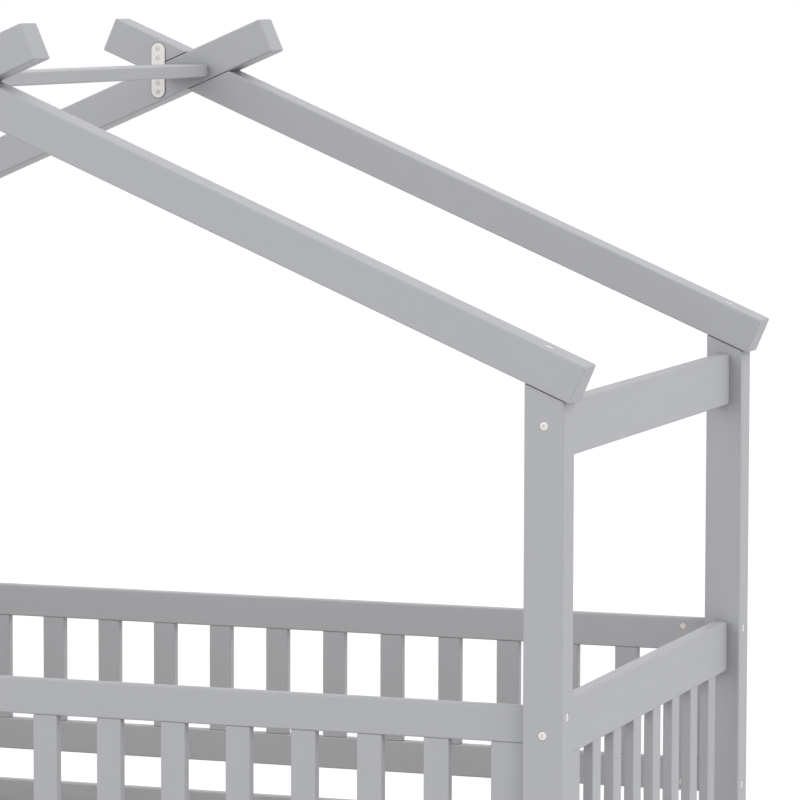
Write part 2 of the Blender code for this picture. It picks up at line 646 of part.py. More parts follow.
def trundle():
    """Everything that rolls out, on an empty whose Y axis the trundle slides along."""
    slide = bpy.data.objects.new("trundle_slide", None)
    PARTS.objects.link(slide)
    slide.location = (0, (TRUNDLE_FRONT_Y + TRUNDLE_BACK_Y) / 2, 0)
    trundle_frame(slide)
    trundle_slats(slide)
    channel = WHEEL_WIDTH + 2 * WHEEL_SIDE_GAP + 2 * BRACKET_WALL
    x = TRUNDLE_HALF_LENGTH - TRUNDLE_BOARD - SEAT_GAP - channel / 2
    rows = (("front", TRUNDLE_FRONT_Y + CASTER_END_INSET), ("back", TRUNDLE_BACK_Y - CASTER_END_INSET))
    for side, y in rows:
        for end, sx in ENDS:
            caster(f"{side}_{end}", sx * x, y, sx, slide)


clear_scene()
PARTS = new_collection("house_bed_with_trundle")
CUTTERS = new_collection("cutters", hidden=True)
posts()
rafters()
ridge()
straps()
upper_end_rails()
end_panels()
fences()
side_rails()
deck_slats()
trundle()
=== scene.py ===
"""Looks of the house bed with trundle: painted boards, pine slats, bolts, casters, floor and light."""
import math
import random

import bmesh
import bpy
from mathutils import Matrix, Vector


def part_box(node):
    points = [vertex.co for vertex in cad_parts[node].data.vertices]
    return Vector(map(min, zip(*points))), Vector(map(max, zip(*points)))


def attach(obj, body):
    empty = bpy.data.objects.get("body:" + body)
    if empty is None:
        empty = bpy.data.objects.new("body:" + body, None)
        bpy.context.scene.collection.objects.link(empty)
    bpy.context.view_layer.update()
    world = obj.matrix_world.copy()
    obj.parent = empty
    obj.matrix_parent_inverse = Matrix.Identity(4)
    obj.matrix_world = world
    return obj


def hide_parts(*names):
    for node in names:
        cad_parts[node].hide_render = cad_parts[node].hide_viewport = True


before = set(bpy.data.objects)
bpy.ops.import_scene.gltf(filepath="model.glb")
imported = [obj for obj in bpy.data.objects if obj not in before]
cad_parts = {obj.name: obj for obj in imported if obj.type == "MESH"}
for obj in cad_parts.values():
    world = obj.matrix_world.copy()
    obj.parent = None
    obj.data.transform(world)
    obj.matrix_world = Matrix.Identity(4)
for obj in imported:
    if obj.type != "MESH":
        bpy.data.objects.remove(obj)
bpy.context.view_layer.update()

# Camera, fitted to the photograph's edges: place in metres, angles in radians, lens in millimetres
CAMERA_PLACE = (2.98335, -6.95841, 1.84560)
CAMERA_HEADING = 1.90548
CAMERA_DIP = 0.09018
CAMERA_ROLL = 0.00252
CAMERA_LENS = 205.234
SENSOR_WIDTH = 36

# Light: the strength of the sky, and of three wide soft suns
SKY_STRENGTH = 0.56
FRONT_STRENGTH = 1.08
RIGHT_STRENGTH = 1.10
BACK_STRENGTH = 0.16
FRONT_FROM = (-0.7, -1.0, 0.3)
RIGHT_FROM = (1.0, -0.1, 0.85)
BACK_FROM = (-0.3, 1.0, 0.8)
SOFT_ANGLE = math.radians(70)
FLOOR_WIDTH = 60
FLOOR_WHITE = 0.75
FLOOR_LIFT = 0.36

# Finishes. A pattern has a fineness, on boards one along, one across and one through them. A bump has
# a strength and a depth in metres. Most values of a noise lie in its middle.
NOISE_MIDDLE = (0.3, 0.7)
GRAIN_SPREAD = 40
PAINT_GREY = (0.457, 0.463, 0.487)
PAINT_DRIFT = (1.6, 9, 9)
PAINT_DRIFT_SHARES = (0.990, 1.006)
PAINT_STREAK = (5, 130, 130)
PAINT_STREAK_BUMP = (0.05, 0.0006)
PAINT_PEEL = 420
PAINT_PEEL_BUMP = (0.035, 0.0003)
PAINT_ROUGHNESS = (0.44, 0.54)
PINE_DEEP = (0.77, 0.715, 0.62)
PINE_PALE = (0.83, 0.785, 0.70)
PINE_LATE = (0.67, 0.585, 0.47)
PINE_KNOT = (0.30, 0.17, 0.09)
PINE_WANDER = (0.9, 7, 7)
PINE_RINGS = 26
PINE_RING_STRETCH = (0.22, 1, 1)
PINE_RING_SWAY = 5.5
PINE_RING_SWAY_DETAIL = 2
PINE_RING_SWAY_SCALE = 0.8
PINE_RING_BUMP = (0.08, 0.0003)
PINE_LATE_RANGE = (0.35, 1)
PINE_LATE_SHARE = 0.5
PINE_KNOTS = (2.6, 6.5, 6.5)
PINE_KNOT_RANGE = (0.03, 0.11)
PINE_KNOT_SHARE = 0.8
PINE_PORES = (12, 260, 260)
PINE_PORE_BUMP = (0.18, 0.0004)
PINE_ROUGHNESS = (0.55, 0.70)
CREAM_COLOUR = (0.90, 0.865, 0.83)
CREAM_ROUGHNESS = 0.42
BLUSH_COLOUR = (0.89, 0.80, 0.745)
BLUSH_ROUGHNESS = 0.36
COAT_GRIT = 900
COAT_WASH = 90
COAT_RANGE = (0.35, 0.65)
COAT_SPECKLE = 0.04
COAT_BUMP = (0.10, 0.0001)
COAT_SMOOTHER = 0.05
COAT_ROUGHER = 0.06
ZINC_DULL = (0.60, 0.61, 0.62)
ZINC_BRIGHT = (0.76, 0.76, 0.75)
ZINC_METAL = 0.92
ZINC_HAZE = 120
ZINC_LINES = (900, 900, 40)
ZINC_BUMP = (0.06, 0.0001)
ZINC_ROUGHNESS = (0.30, 0.46)
NYLON_DARK = (0.030, 0.030, 0.033)
NYLON_WORN = (0.10, 0.10, 0.10)
NYLON_WORN_RANGE = (0.52, 0.72)
NYLON_WEAR = 0.5
NYLON_SPARK = 1400
NYLON_BUMP = (0.12, 0.0001)
NYLON_SCUFF = 260
NYLON_ROUGHNESS = (0.40, 0.58)

# Painted shade in the frame's inside corners, darkening the paint where shade falls: how near the other
# face is, and how much goes
CORNER_SHADE_REACH = 0.028
PAINTED_CORNER_SHADE = 0.30
CORNER_SHADE_RAYS = 4

# Edges and cuts
EDGE_ROUND = 0.003
SLIM_ROUND = 0.002
RIM_ROUND = 0.001
ROUND_STEPS = 4
BEND_STEPS = 3
RIM_STEPS = 2
ARC_STEPS = 24
ROUND_SIDES = 32
SMOOTH_ANGLE = math.radians(40)
LARGE_FACE_WEIGHT = 100
MERGE_REACH = 0.00001
OVERRUN = 0.010

# The roof, as in the solids
ROOF_PITCH = math.radians(23.15)
SLOPE_SLACK = 0.01
RAFTER_HEIGHT = 0.0605
RAFTER_THICK = 0.060
RAFTER_HORN = 0.160
RAFTER_EAVE = 0.023
POST_TOP_GAP = 0.0008
LAP_GAP = 0.0008
SEAT_GAP = 0.0003
RIDGE_SCREW_SPACING = 0.040

# Rails, pickets and ledgers
END_PICKETS = 8
END_PICKET_WIDTH = 0.0435
END_PICKET_THICK = 0.016
END_PICKET_RECESS = 0.0015
END_PICKET_TENON = 0.012
GUARD_RAIL_HEIGHT = 0.085
LOWER_RAIL_HEIGHT = 0.120
FENCE_PICKETS = 16
FENCE_PICKET_WIDTH = 0.0405
FENCE_PICKET_THICK = 0.017
FENCE_PICKET_RECESS = 0.001
FENCE_RAIL_HEIGHT = 0.056
STILE_WIDTH = 0.056
LEDGER = 0.025
LEDGER_END_CLEAR = 0.005
TRUNDLE_BOARD = 0.019

# Bolts and barrel nuts, and how far the bolts lie from the edges of the boards that they hold
BOLT_SEAT_RADIUS = 0.0072
BOLT_SEAT_DEPTH = 0.0045
BOLT_HEAD_RADIUS = 0.0069
BOLT_HEAD_THICK = 0.0040
BOLT_HEAD_SINK = 0.0003
BOLT_RIM = 0.0007
BOLT_RIM_TURN_SHARE = 0.3
SOCKET_RADIUS = 0.0028
SOCKET_DEPTH = 0.0022
SOCKET_SIDES = 6
NUT_HOLE_RADIUS = 0.0053
NUT_RADIUS = 0.0050
NUT_THICK = 0.0040
NUT_SLOT_WIDTH = 0.0012
NUT_BACK = 0.042
UPPER_RAIL_BOLT_DROP = 0.031
GUARD_RAIL_BOLT_DROP = 0.040
LOWER_RAIL_BOLT_DROP = 0.045
FENCE_BOLT_DROP = 0.0145
SIDE_RAIL_BOLT_DROP = 0.025

# Wood screws and lap straps
SCREW_RADIUS = 0.0039
SCREW_RIM = 0.0004
SCREW_THICK = 0.0015
SCREW_PROUD = 0.0003
SCREW_FOOT_SHARE = 0.5
SCREW_SIDES = 24
CROSS_RADIUS = 0.0019
CROSS_WIDTH = 0.0008
CROSS_DEPTH = 0.0009
LEDGER_SCREWS = 7
STRAP_LENGTH = 0.096
STRAP_WIDTH = 0.025
STRAP_RIM = 0.0005
STRAP_SCREWS = (0.038, 0.022, -0.022, -0.038)
STRAP_LET_IN = 0.0010
POCKET_CLEAR = 0.0014
POCKET_DEPTH = 0.0018
STRAP_SCREW_RADIUS = 0.0032
STRAP_SCREW_DOME = 0.0009
SINK_RADIUS = 0.0040
SINK_DEPTH = 0.0018

# Casters: heights are above the floor
WHEEL_RADIUS = 0.025
WHEEL_WIDTH = 0.020
WHEEL_HUB_WIDTH = 0.022
WHEEL_BORE = 0.0045
WHEEL_HUB_RADIUS = 0.0085
WHEEL_WEB = 0.009
WHEEL_DISH_RADIUS = 0.0105
WHEEL_RIM_RADIUS = 0.0190
WHEEL_CROWN = 0.0022
WHEEL_SIDES = 56
RIBS = 6
RIB_THICK = 0.0022
RIB_DROP = 0.0012
RIB_ROUND = RIB_DROP / 3
BRACKET_WALL = 0.0025
BRACKET_INSIDE = 0.024
BRACKET_OUTSIDE = BRACKET_INSIDE + 2 * BRACKET_WALL
BRACKET_EAR_RADIUS = 0.012
BRACKET_SHOULDER = 0.036
BRACKET_SPACE_TOP = 0.054
BRACKET_WEB_TOP = BRACKET_SPACE_TOP + BRACKET_WALL
BRACKET_TOP = 0.092
BRACKET_PLATE_WIDTH = 0.040
BRACKET_ROUND = 0.0006
BRACKET_HOLE_INSET = 0.009
AXLE_RADIUS = 0.0040
AXLE_HEAD_RADIUS = 0.0065
AXLE_HEAD_THICK = 0.0020
AXLE_HEAD_ROUND = 0.0012
AXLE_END_PROUD = 0.0008

# Axes, the way to each side on Y and to each end on X, and bodies
X, Y, Z = range(3)
SIDES = {"front": -1, "back": 1}
ENDS = {"right": 1, "left": -1}
FRAME_BODY = "frame"
TRUNDLE_BODY = "trundle"

# Sockets of the Mix node when it mixes colours
MIX_FACTOR = 0
MIX_COLOURS = (6, 7)
MIX_RESULT = 2


# Shader helpers

def shader_of(name):
    """A new material, with its node tree and its Principled shader."""
    material = bpy.data.materials.new(name)
    material.use_nodes = True
    tree = material.node_tree
    return material, tree, tree.nodes["Principled BSDF"]


def node(tree, kind, **settings):
    made = tree.nodes.new(kind)
    for key, value in settings.items():
        setattr(made, key, value)
    return made


def object_place(tree):
    return node(tree, "ShaderNodeTexCoord").outputs["Object"]


def stretched(tree, source, scale):
    """Coordinates drawn out by a scale on each axis."""
    mapping = node(tree, "ShaderNodeMapping")
    mapping.inputs["Scale"].default_value = scale
    tree.links.new(source, mapping.inputs["Vector"])
    return mapping.outputs["Vector"]


def noise(tree, vector, scale=1, detail=2, rough=0.5):
    made = node(tree, "ShaderNodeTexNoise")
    made.inputs["Scale"].default_value = scale
    made.inputs["Detail"].default_value = detail
    made.inputs["Roughness"].default_value = rough
    tree.links.new(vector, made.inputs["Vector"])
    return made.outputs["Fac"]


def ranged(tree, value, old, new):
    """A value taken from one range to another, and kept inside it."""
    made = node(tree, "ShaderNodeMapRange")
    for key, number in zip(("From Min", "From Max", "To Min", "To Max"), (*old, *new)):
        made.inputs[key].default_value = number
    tree.links.new(value, made.inputs["Value"])
    return made.outputs["Result"]


def sums(tree, operation, first, second):
    """One step of arithmetic on two values, each a number or a socket."""
    made = node(tree, "ShaderNodeMath", operation=operation)
    for socket, value in zip(made.inputs, (first, second)):
        if isinstance(value, (int, float)):
            socket.default_value = value
        else:
            tree.links.new(value, socket)
    return made.outputs[0]


def mixed(tree, factor, first, second, blend="MIX"):
    """A colour between two others, each a tuple or a socket."""
    made = node(tree, "ShaderNodeMix", data_type="RGBA", blend_type=blend)
    tree.links.new(factor, made.inputs[MIX_FACTOR])
    for index, value in zip(MIX_COLOURS, (first, second)):
        if isinstance(value, tuple):
            made.inputs[index].default_value = (*value, 1)
        else:
            tree.links.new(value, made.inputs[index])
    return made.outputs[MIX_RESULT]


def bumped(tree, shader, height, bump, before=None):
    """Gives a shader a bump, on top of the one that came before."""
    made = node(tree, "ShaderNodeBump")
    strength, depth = bump
    made.inputs["Strength"].default_value = strength
    made.inputs["Distance"].default_value = depth
    tree.links.new(height, made.inputs["Height"])
    if before is not None:
        tree.links.new(before, made.inputs["Normal"])
    tree.links.new(made.outputs["Normal"], shader.inputs["Normal"])
    return made.outputs["Normal"]


def shaded(colour, share):
    return tuple(channel * share for channel in colour)


def painted_corner_shade(tree, colour, share):
    """A colour darkened by up to a share of itself in inside corners, as painted shade from ambient
    occlusion.
    """
    near = node(tree, "ShaderNodeAmbientOcclusion", samples=CORNER_SHADE_RAYS)
    near.inputs["Distance"].default_value = CORNER_SHADE_REACH
    corner_shade_mask = ranged(tree, near.outputs["AO"], (0, 1), (1, 0))
    return mixed(tree, corner_shade_mask, colour, (1 - share, 1 - share, 1 - share), "MULTIPLY")


# Finishes

def painted_wood(name, corner_shade_share):
    """Satin grey paint over sanded pine: the grain barely lifts the paint, and the tone drifts a little.
    Painted shade can darken it in inside corners.
    """
    material, tree, shader = shader_of(name)
    grain = node(tree, "ShaderNodeAttribute", attribute_name="grain").outputs["Vector"]
    drift = noise(tree, stretched(tree, grain, PAINT_DRIFT), detail=3)
    tones = [shaded(PAINT_GREY, share) for share in PAINT_DRIFT_SHARES]
    paint = mixed(tree, ranged(tree, drift, NOISE_MIDDLE, (0, 1)), *tones)
    # Painted shade: the paint is darkened in inside corners, where shade falls between parts
    if corner_shade_share > 0:
        paint = painted_corner_shade(tree, paint, corner_shade_share)
    tree.links.new(paint, shader.inputs["Base Color"])
    streak = noise(tree, stretched(tree, grain, PAINT_STREAK), detail=3, rough=0.6)
    peel = noise(tree, object_place(tree), PAINT_PEEL, detail=1)
    lifted = bumped(tree, shader, streak, PAINT_STREAK_BUMP)
    bumped(tree, shader, peel, PAINT_PEEL_BUMP, lifted)
    tree.links.new(ranged(tree, streak, NOISE_MIDDLE, PAINT_ROUGHNESS), shader.inputs["Roughness"])
    return material


def bare_pine(name, turn):
    """Sanded pine with growth rings along the board, a few small knots and open pores."""
    material, tree, shader = shader_of(name)
    mapping = node(tree, "ShaderNodeMapping")
    mapping.inputs["Rotation"].default_value = turn
    tree.links.new(object_place(tree), mapping.inputs["Vector"])
    along = mapping.outputs["Vector"]
    rings = node(tree, "ShaderNodeTexWave", wave_type="BANDS", bands_direction="Y")
    rings.inputs["Scale"].default_value = PINE_RINGS
    rings.inputs["Distortion"].default_value = PINE_RING_SWAY
    rings.inputs["Detail"].default_value = PINE_RING_SWAY_DETAIL
    rings.inputs["Detail Scale"].default_value = PINE_RING_SWAY_SCALE
    tree.links.new(stretched(tree, along, PINE_RING_STRETCH), rings.inputs["Vector"])
    late = ranged(tree, rings.outputs["Fac"], PINE_LATE_RANGE, (0, 1))
    early = mixed(tree, noise(tree, stretched(tree, along, PINE_WANDER)), PINE_DEEP, PINE_PALE)
    ringed = mixed(tree, sums(tree, "MULTIPLY", late, PINE_LATE_SHARE), early, PINE_LATE)
    knots = node(tree, "ShaderNodeTexVoronoi")
    knots.inputs["Scale"].default_value = 1
    tree.links.new(stretched(tree, along, PINE_KNOTS), knots.inputs["Vector"])
    knot = ranged(tree, knots.outputs["Distance"], PINE_KNOT_RANGE, (1, 0))
    wood = mixed(tree, sums(tree, "MULTIPLY", knot, PINE_KNOT_SHARE), ringed, PINE_KNOT)
    tree.links.new(wood, shader.inputs["Base Color"])
    pores = noise(tree, stretched(tree, along, PINE_PORES), detail=3, rough=0.65)
    opened = bumped(tree, shader, pores, PINE_PORE_BUMP)
    bumped(tree, shader, late, PINE_RING_BUMP, opened)
    tree.links.new(ranged(tree, pores, NOISE_MIDDLE, PINE_ROUGHNESS), shader.inputs["Roughness"])
    return material


def coated_steel(name, colour, roughness):
    """Steel with a pale coat: faint speckle and a slightly uneven gloss."""
    material, tree, shader = shader_of(name)
    here = object_place(tree)
    grit = noise(tree, here, COAT_GRIT, detail=3, rough=0.7)
    wash = noise(tree, here, COAT_WASH)
    mean = sums(tree, "MULTIPLY", sums(tree, "ADD", grit, wash), 1 / 2)
    tones = [shaded(colour, share) for share in (1 - COAT_SPECKLE, 1 + COAT_SPECKLE)]
    coat = mixed(tree, ranged(tree, mean, COAT_RANGE, (0, 1)), *tones)
    tree.links.new(coat, shader.inputs["Base Color"])
    gloss = (roughness - COAT_SMOOTHER, roughness + COAT_ROUGHER)
    tree.links.new(ranged(tree, wash, NOISE_MIDDLE, gloss), shader.inputs["Roughness"])
    bumped(tree, shader, grit, COAT_BUMP)
    return material


def zinc_steel():
    """Bright zinc plate, with fine rolling lines and a patchy haze."""
    material, tree, shader = shader_of("zinc_steel")
    here = object_place(tree)
    haze = noise(tree, here, ZINC_HAZE, detail=3, rough=0.6)
    tree.links.new(mixed(tree, haze, ZINC_DULL, ZINC_BRIGHT), shader.inputs["Base Color"])
    shader.inputs["Metallic"].default_value = ZINC_METAL
    tree.links.new(ranged(tree, haze, NOISE_MIDDLE, ZINC_ROUGHNESS), shader.inputs["Roughness"])
    bumped(tree, shader, noise(tree, stretched(tree, here, ZINC_LINES)), ZINC_BUMP)
    return material


def dark_nylon():
    """Moulded nylon with a fine spark texture, scuffed pale in patches."""
    material, tree, shader = shader_of("dark_nylon")
    here = object_place(tree)
    scuff = noise(tree, here, NYLON_SCUFF, detail=4, rough=0.7)
    worn = ranged(tree, scuff, NYLON_WORN_RANGE, (0, NYLON_WEAR))
    tree.links.new(mixed(tree, worn, NYLON_DARK, NYLON_WORN), shader.inputs["Base Color"])
    tree.links.new(ranged(tree, scuff, NOISE_MIDDLE, NYLON_ROUGHNESS), shader.inputs["Roughness"])
    bumped(tree, shader, noise(tree, here, NYLON_SPARK), NYLON_BUMP)
    return material


# Mesh helpers

def face_of(box, axis, sign):
    """Where a box ends along an axis, on the side that a sign tells."""
    low, high = box
    return (high if sign > 0 else low)[axis]


def pitched(low, high, count, width):
    """The middles of so many pieces of a width, with equal gaps between them and at the two ends."""
    gap = (high - low - count * width) / (count + 1)
    return [low + gap + width / 2 + index * (width + gap) for index in range(count)]


def quarter_angles():
    return [math.pi / 2 * step / ROUND_STEPS for step in range(ROUND_STEPS + 1)]


def half_circle(radius, start):
    """Points of half a circle, as pairs, counterclockwise from an angle."""
    angles = [start + math.pi * step / ARC_STEPS for step in range(ARC_STEPS + 1)]
    return [(radius * math.cos(angle), radius * math.sin(angle)) for angle in angles]


def aimed(place, direction):
    """A matrix that stands a turned shape at a place, with its Z axis along a direction."""
    return Matrix.Translation(place) @ Vector(direction).to_track_quat("Z", "Y").to_matrix().to_4x4()


def moved(bm, matrix):
    bmesh.ops.transform(bm, matrix=matrix, verts=bm.verts)
    return bm


def add_block(bm, low, high):
    """Adds a sharp-edged block between two corners, and gives its vertices."""
    verts = bmesh.ops.create_cube(bm, size=1)["verts"]
    bmesh.ops.scale(bm, vec=high - low, verts=verts)
    bmesh.ops.translate(bm, vec=(low + high) / 2, verts=verts)
    return verts


def round_edges(bm, edges, radius, steps=ROUND_STEPS):
    if radius > 0:
        bmesh.ops.bevel(
            bm, geom=list(edges), offset=radius, offset_type="OFFSET", segments=steps,
            profile=0.5, affect="EDGES", clamp_overlap=True, material=-1,
        )


def boards(corners, radius=EDGE_ROUND, steps=ROUND_STEPS):
    """Boards with rounded edges, each between two corners."""
    bm = bmesh.new()
    for low, high in corners:
        verts = add_block(bm, Vector(low), Vector(high))
        round_edges(bm, {edge for vert in verts for edge in vert.link_edges}, radius, steps)
    return bm


def pushed_out(bm, outline, move):
    """A flat outline of vertices made solid by a copy of it, a move away."""
    face = bm.faces.new(outline)
    lifted = bmesh.ops.extrude_face_region(bm, geom=[face])["geom"]
    verts = [part for part in lifted if isinstance(part, bmesh.types.BMVert)]
    bmesh.ops.translate(bm, vec=move, verts=verts)
    bmesh.ops.recalc_face_normals(bm, faces=bm.faces)
    return bm


def turned(profile, steps=ROUND_SIDES):
    """A shape turned about its Z axis from (radius, height) pairs, closed on itself or on the axis."""
    bm = bmesh.new()
    verts = [bm.verts.new((radius, 0, height)) for radius, height in profile]
    pairs = list(zip(verts, verts[1:]))
    if profile[0][0] > 0:
        pairs.append((verts[-1], verts[0]))
    edges = [bm.edges.new(pair) for pair in pairs]
    bmesh.ops.spin(
        bm, geom=verts + edges, cent=(0, 0, 0), axis=(0, 0, 1), dvec=(0, 0, 0),
        angle=math.tau, steps=steps, use_merge=True, use_duplicate=False,
    )
    bmesh.ops.remove_doubles(bm, verts=bm.verts, dist=MERGE_REACH)
    bmesh.ops.recalc_face_normals(bm, faces=bm.faces)
    return bm


def rod(radius, low, high, place, steps=ROUND_SIDES):
    return moved(turned([(0, low), (radius, low), (radius, high), (0, high)], steps), place)


def as_mesh(bm, name="shape"):
    mesh = bpy.data.meshes.new(name)
    bm.to_mesh(mesh)
    bm.free()
    return mesh


def take_in(bm, mesh, place):
    """Adds a mesh to a bmesh, moved by a matrix, and leaves the mesh as it was."""
    copy = mesh.copy()
    copy.transform(place)
    bm.from_mesh(copy)
    bpy.data.meshes.remove(copy)


def merged(*parts):
    """One bmesh from several, which are freed."""
    bm = bmesh.new()
    for part in parts:
        mesh = as_mesh(part)
        bm.from_mesh(mesh)
        bpy.data.meshes.remove(mesh)
    return bm


def solid_sum(bm, other, operation):
    """A shape cut by another one, or joined to it."""
    holders = []
    for shape in (bm, other):
        holder = bpy.data.objects.new("holder", as_mesh(shape))
        bpy.context.scene.collection.objects.link(holder)
        holders.append(holder)
    boolean = holders[0].modifiers.new("Boolean", "BOOLEAN")
    boolean.operation = operation
    boolean.solver = "EXACT"
    boolean.object = holders[1]
    bpy.context.view_layer.update()
    evaluated = holders[0].evaluated_get(bpy.context.evaluated_depsgraph_get())
    result = bpy.data.meshes.new_from_object(evaluated)
    made = bmesh.new()
    made.from_mesh(result)
    bpy.data.meshes.remove(result)
    for holder in holders:
        mesh = holder.data
        bpy.data.objects.remove(holder)
        bpy.data.meshes.remove(mesh)
    return made


def cut(bm, *cutters):
    return solid_sum(bm, merged(*cutters), "DIFFERENCE")


def joined(bm, other):
    return solid_sum(bm, other, "UNION")


def islands(bm):
    """The boards of a bmesh, each as its list of vertices."""
    seen = set()
    for start in bm.verts:
        if start in seen:
            continue
        seen.add(start)
        island = [start]
        for vert in island:
            for edge in vert.link_edges:
                other = edge.other_vert(vert)
                if other not in seen:
                    seen.add(other)
                    island.append(other)
        yield island


def mark_grain(bm, seed):
    """Gives each board a place of its own in the grain, with X along it, then across it and through it."""
    layer = bm.verts.layers.float_vector.new("grain")
    dice = random.Random(seed)
    for island in islands(bm):
        low = Vector([min(vert.co[axis] for vert in island) for axis in (X, Y, Z)])
        high = Vector([max(vert.co[axis] for vert in island) for axis in (X, Y, Z)])
        order = sorted((X, Y, Z), key=lambda axis: low[axis] - high[axis])
        start = Vector([dice.uniform(0, GRAIN_SPREAD) for axis in order])
        for vert in island:
            vert[layer] = start + Vector([vert.co[axis] - low[axis] for axis in order])


# Pieces

def piece(name, bm, material, slot, body, replaces=(), hard=True):
    """Makes a finished piece: smooth but for its sharp edges, riding on a body, standing for CAD nodes."""
    mesh = as_mesh(bm, name)
    mesh.materials.append(material)
    mesh.shade_smooth()
    mesh.set_sharp_from_angle(angle=SMOOTH_ANGLE)
    obj = bpy.data.objects.new(name, mesh)
    bpy.context.scene.collection.objects.link(obj)
    if hard:
        weighted = obj.modifiers.new("Weighted normals", "WEIGHTED_NORMAL")
        weighted.mode = "FACE_AREA"
        weighted.weight = LARGE_FACE_WEIGHT
        weighted.keep_sharp = True
    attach(obj, body)
    if replaces:
        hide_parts(*replaces)
    return obj


def wooden(name, bm, body, replaces=()):
    """A painted wooden piece that stands for CAD nodes, or is one more part of such a piece."""
    mark_grain(bm, name)
    paint = TRUNDLE_PAINT if body == TRUNDLE_BODY else PAINT
    return piece(name, bm, paint, "painted_wood", body, replaces)


def spread(name, mesh, places, material, slot, body):
    """Copies of a fastener at places, each an (x, y, z) and the direction that it faces."""
    bm = bmesh.new()
    dice = random.Random(name)
    for place, facing in places:
        spin = Matrix.Rotation(dice.uniform(0, math.tau), 4, "Z")
        take_in(bm, mesh, aimed(place, facing) @ spin)
    return piece(name, bm, material, slot, body, hard=False)


def nodes_named(start):
    """The names of the solids that start with these words, in order."""
    return [name for name in sorted(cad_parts) if name.startswith(start)]


def finish_solid(name, material):
    """Gives its finish to a solid that shows as it is."""
    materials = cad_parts[name].data.materials
    materials.clear()
    materials.append(material)


# Fasteners

def bolt_mesh():
    """A flat round bolt head with a rounded rim and a hexagon socket, its face at zero and looking up Z."""
    turn = BOLT_RIM * BOLT_RIM_TURN_SHARE
    head = turned([
        (0, 0),
        (BOLT_HEAD_RADIUS - BOLT_RIM, 0),
        (BOLT_HEAD_RADIUS - turn, -turn),
        (BOLT_HEAD_RADIUS, -BOLT_RIM),
        (BOLT_HEAD_RADIUS, -BOLT_HEAD_THICK),
        (0, -BOLT_HEAD_THICK),
    ])
    socket = rod(SOCKET_RADIUS, -SOCKET_DEPTH, OVERRUN, Matrix.Identity(4), SOCKET_SIDES)
    return as_mesh(cut(head, socket), "bolt")


def nut_mesh():
    """The face of a barrel nut, with its slot."""
    body = turned([
        (0, 0),
        (NUT_RADIUS - SCREW_RIM, 0),
        (NUT_RADIUS, -SCREW_RIM),
        (NUT_RADIUS, -NUT_THICK),
        (0, -NUT_THICK),
    ])
    half = NUT_SLOT_WIDTH / 2
    slot = boards([((-OVERRUN, -half, -CROSS_DEPTH), (OVERRUN, half, OVERRUN))], 0)
    return as_mesh(cut(body, slot), "barrel_nut")


def screw_mesh(radius, dome=0):
    """A countersunk screw head with a cross recess, flat or with a low dome."""
    edge = radius - SCREW_RIM
    crown = [(edge * math.sin(angle), SCREW_PROUD + dome * math.cos(angle)) for angle in quarter_angles()]
    foot = [
        (radius, SCREW_PROUD - SCREW_RIM),
        (radius * SCREW_FOOT_SHARE, -SCREW_THICK),
        (0, -SCREW_THICK),
    ]
    head = turned(crown + foot, SCREW_SIDES)
    half = CROSS_WIDTH / 2
    bottom = dome - CROSS_DEPTH
    for x, y in ((CROSS_RADIUS, half), (half, CROSS_RADIUS)):
        head = cut(head, boards([((-x, -y, bottom), (x, y, OVERRUN))], 0))
    return as_mesh(head, "screw")


def seat_cut(radius, depth, place, inward):
    return rod(radius, -OVERRUN, depth, aimed(place, inward))


def bolt_seat(place, inward):
    return seat_cut(BOLT_SEAT_RADIUS, BOLT_SEAT_DEPTH, place, inward)


def nut_places(box, along, across, inward, heights):
    """Where barrel nuts show in a board's inner face, near both its ends, and which way they face."""
    places = []
    for sign in (-1, 1):
        for z in heights:
            place = Vector((0, 0, z))
            place[along] = face_of(box, along, sign) - sign * NUT_BACK
            place[across] = face_of(box, across, inward)
            facing = Vector((0, 0, 0))
            facing[across] = inward
            places.append((place, facing))
    return places


def holed(bm, nuts):
    """A board with a blind hole for each barrel nut."""
    return cut(bm, *[seat_cut(NUT_HOLE_RADIUS, NUT_THICK, place, -facing) for place, facing in nuts])


# Heights of the bolts, from the boards that they hold

def fence_bolts():
    low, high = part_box("fence_front")
    return [high.z - FENCE_BOLT_DROP, low.z + FENCE_BOLT_DROP]


def side_rail_bolts():
    low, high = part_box("side_rail_front")
    return [high.z - SIDE_RAIL_BOLT_DROP, low.z + SIDE_RAIL_BOLT_DROP]


def upper_rail_bolts():
    return [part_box("upper_end_rail_right")[1].z - UPPER_RAIL_BOLT_DROP]


def end_panel_bolts():
    low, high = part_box("end_panel_right")
    lower_rail_top = low.z + LOWER_RAIL_HEIGHT
    return [
        high.z - GUARD_RAIL_BOLT_DROP,
        lower_rail_top - LOWER_RAIL_BOLT_DROP,
        low.z + LOWER_RAIL_BOLT_DROP,
    ]


# The main frame

def slopes(face):
    return abs(face.normal.z - math.cos(ROOF_PITCH)) < SLOPE_SLACK


def on_slope(edge, middle_z):
    """Whether an edge bounds a post's sloped top."""
    tops = [face for face in edge.link_faces if face.calc_center_median().z > middle_z and slopes(face)]
    return len(tops) == 1


def post_shape(low, high, sx):
    """A post with rounded edges, its top sloped and a hair below the rafter."""
    bm = bmesh.new()
    verts = add_block(bm, low, high)
    middle = (low + high) / 2
    drop = (high.x - low.x) * math.tan(ROOF_PITCH)
    for vert in verts:
        if vert.co.z > middle.z and (vert.co.x - middle.x) * sx > 0:
            vert.co.z -= drop
        if vert.co.z > middle.z:
            vert.co.z -= POST_TOP_GAP
    rim = {edge for edge in bm.edges if all(vert.co.z > middle.z for vert in edge.verts)}
    round_edges(bm, set(bm.edges) - rim, EDGE_ROUND)
    rim = [edge for edge in bm.edges if on_slope(edge, middle.z)]
    round_edges(bm, rim, RIM_ROUND, RIM_STEPS)
    return bm


